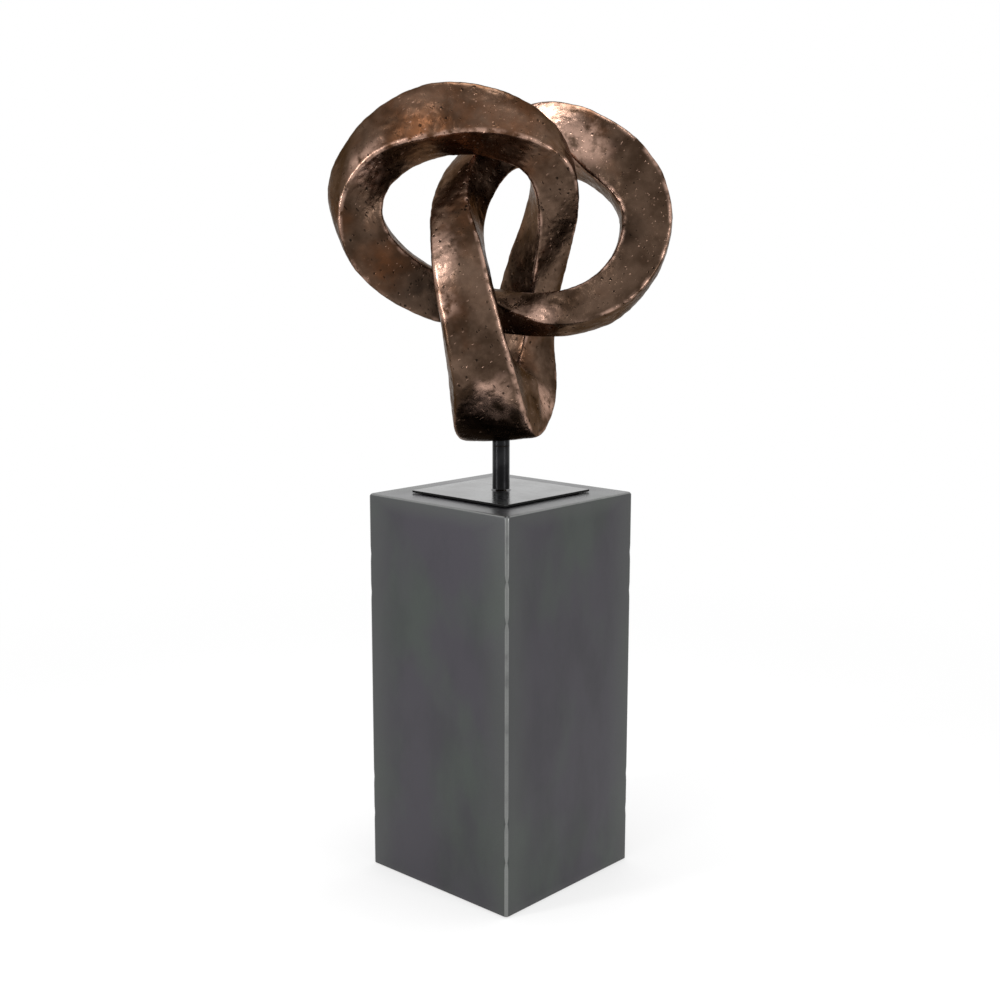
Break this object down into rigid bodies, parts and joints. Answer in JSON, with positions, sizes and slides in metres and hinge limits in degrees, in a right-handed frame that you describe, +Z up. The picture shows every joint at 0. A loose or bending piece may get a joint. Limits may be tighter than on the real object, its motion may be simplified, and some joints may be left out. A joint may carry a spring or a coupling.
{
  "type": "knot sculpture on pedestal",
  "caption": "Cast bronze trefoil knot that turns on a slim steel post, with a square base plate standing on a tall square metal-clad pedestal.",
  "frame": {"origin": "middle of the pedestal's foot, on the floor that its rubber mat lies on", "axes": "+Z up along the post; the knot's front looks along -Y, and the square pedestal stands cornerwise to it, turned 42.6 degrees about Z"},
  "size_m": [0.5975, 0.4668, 1.4023],
  "materials": {
    "patinated_bronze": "dark brown patina, rubbed bright on the ridges",
    "patinated_sheet_steel": "waxed gunmetal patina, cloudy, edges rubbed bright",
    "blackened_steel": "blackened, satin",
    "blackened_steel_plate": "dark satin",
    "bright_steel": "turned bright",
    "zinc_plated_steel": "zinc plated",
    "bearing_bronze": "turned",
    "core_board": "plywood, sanded",
    "core_timber": "planed softwood",
    "mat_rubber": "black rubber sheet, lightly grained",
    "felt": "black wool felt"
  },
  "bodies": {
    "pedestal": {"pedestal_cover": "patinated_sheet_steel", "pedestal_top_board": "core_board", "pedestal_bottom_board": "core_board", "corner_batten_front": "core_timber", "corner_batten_right": "core_timber", "corner_batten_back": "core_timber", "corner_batten_left": "core_timber", "bottom_board_screws": "zinc_plated_steel", "floor_mat": "mat_rubber"},
    "stand": {"felt_pads": "felt", "base_plate": "blackened_steel_plate", "post_bolt": "zinc_plated_steel", "foot_ring": "bright_steel", "post": "blackened_steel", "thrust_washer": "bearing_bronze"},
    "knot": {"knot_sleeve": "blackened_steel", "knot_casting": "patinated_bronze"}
  },
  "joints": [
    {"name": "stand_lift", "type": "slide", "parent": "pedestal", "child": "stand", "axis": [0, 0, 1], "range_m": [0, 0.15]},
    {"name": "knot_turn", "type": "hinge", "parent": "stand", "child": "knot", "pos_m": [0, 0, 0.7862], "axis": [0, 0, 1], "continuous": true}
  ]
}
